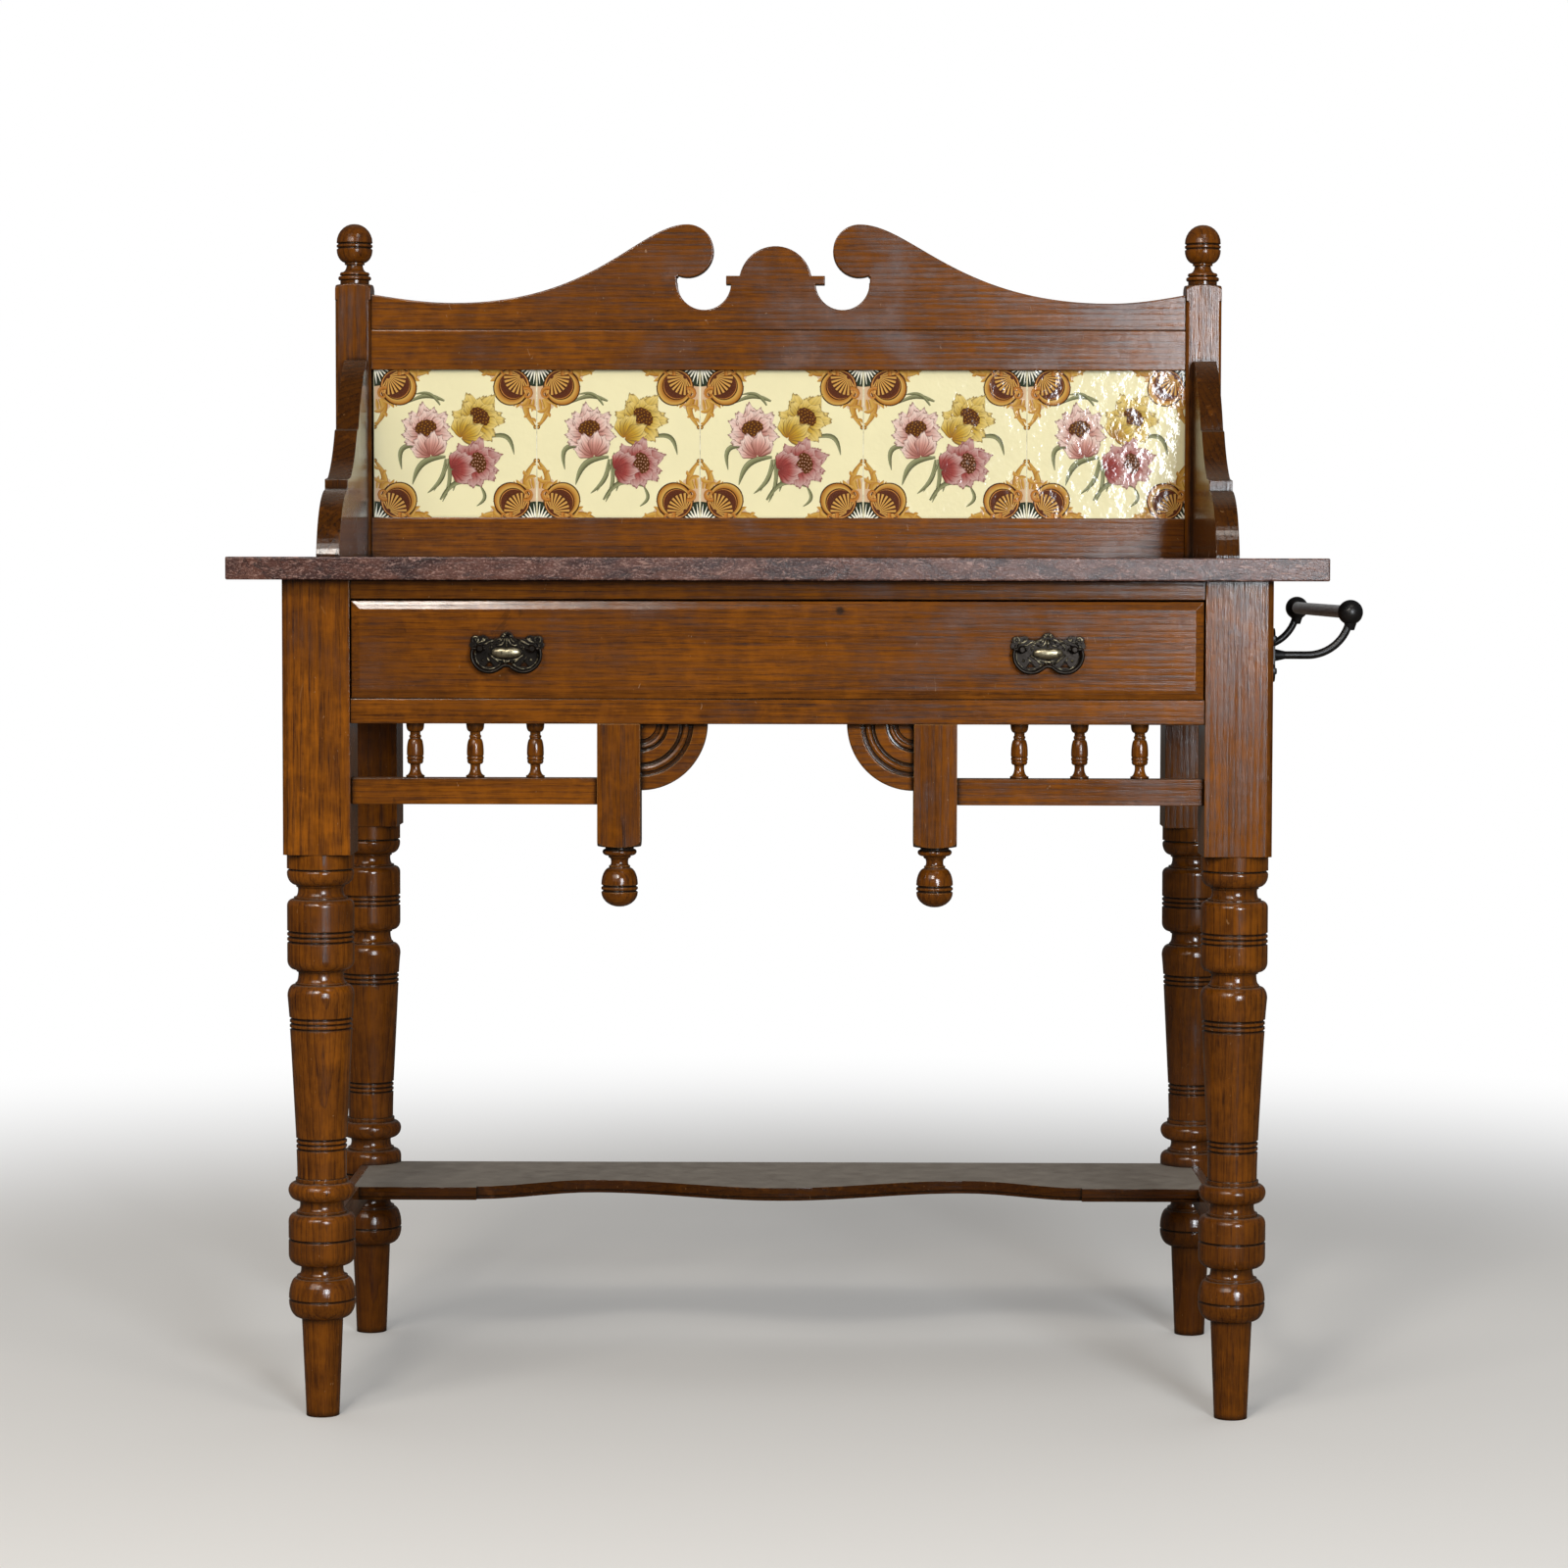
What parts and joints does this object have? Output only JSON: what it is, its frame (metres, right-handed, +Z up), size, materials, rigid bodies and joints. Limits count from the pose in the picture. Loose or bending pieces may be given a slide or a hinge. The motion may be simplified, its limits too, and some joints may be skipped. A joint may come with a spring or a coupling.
{
  "type": "washstand",
  "caption": "Turned-leg washstand with a marble slab, tiled splashback with a swan-neck crest, drawer with bail pulls, under-shelf and side towel rail.",
  "frame": {"origin": "on the floor under the middle of the bounding box", "axes": "+Z up, -Y towards the front, +X towards the towel rail"},
  "size_m": [0.9484, 0.469, 1.039],
  "materials": {
    "marble": "polished",
    "stained_wood": "gloss varnish",
    "bare_pine": "bare, planed",
    "tile_glaze": "gloss glaze",
    "black_iron": "black, satin",
    "rod_steel": "dull",
    "screw_steel": "aged",
    "dark_brass": "patinated, with bright bosses"
  },
  "bodies": {
    "stand": {"marble_top": "marble", "front_left_leg": "stained_wood", "front_right_leg": "stained_wood", "back_left_leg": "stained_wood", "back_right_leg": "stained_wood", "front_top_rail": "stained_wood", "front_lower_rail": "stained_wood", "left_apron": "stained_wood", "right_apron": "stained_wood", "back_apron": "stained_wood", "drawer_runners": "bare_pine", "drawer_guides": "bare_pine", "drawer_kickers": "bare_pine", "drawer_stops": "bare_pine", "left_gallery_rail": "stained_wood", "right_gallery_rail": "stained_wood", "left_pendant": "stained_wood", "right_pendant": "stained_wood", "left_bracket": "stained_wood", "right_bracket": "stained_wood", "under_shelf": "stained_wood", "left_stretcher": "stained_wood", "right_stretcher": "stained_wood", "left_post": "stained_wood", "right_post": "stained_wood", "crest_rail": "stained_wood", "splash_top_rail": "stained_wood", "splash_bottom_rail": "stained_wood", "tile_board": "bare_pine", "left_wing": "stained_wood", "right_wing": "stained_wood", "left_batten": "stained_wood", "right_batten": "stained_wood", "batten_screws": "screw_steel", "front_towel_arm": "black_iron", "back_towel_arm": "black_iron", "towel_rod": "rod_steel", "towel_screws": "screw_steel", "spindle_1": "stained_wood", "spindle_2": "stained_wood", "spindle_3": "stained_wood", "spindle_4": "stained_wood", "spindle_5": "stained_wood", "spindle_6": "stained_wood", "tile_1": "tile_glaze", "tile_2": "tile_glaze", "tile_3": "tile_glaze", "tile_4": "tile_glaze", "tile_5": "tile_glaze"},
    "drawer": {"drawer_front": "stained_wood", "drawer_left_side": "bare_pine", "drawer_right_side": "bare_pine", "drawer_back": "bare_pine", "drawer_bottom": "bare_pine", "left_pull_plate": "dark_brass", "right_pull_plate": "dark_brass"},
    "left_pull": {"left_bail": "dark_brass"},
    "right_pull": {"right_bail": "dark_brass"}
  },
  "joints": [
    {"name": "drawer_slide", "type": "slide", "parent": "stand", "child": "drawer", "axis": [0, -1, 0], "range_m": [0, 0.3]},
    {"name": "left_bail_hinge", "type": "hinge", "parent": "drawer", "child": "left_pull", "pos_m": [-0.24275, -0.2189, 0.6519], "axis": [-1, 0, 0], "range_deg": [0, 95]},
    {"name": "right_bail_hinge", "type": "hinge", "parent": "drawer", "child": "right_pull", "pos_m": [0.20825, -0.2189, 0.6519], "axis": [-1, 0, 0], "range_deg": [0, 95]}
  ]
}
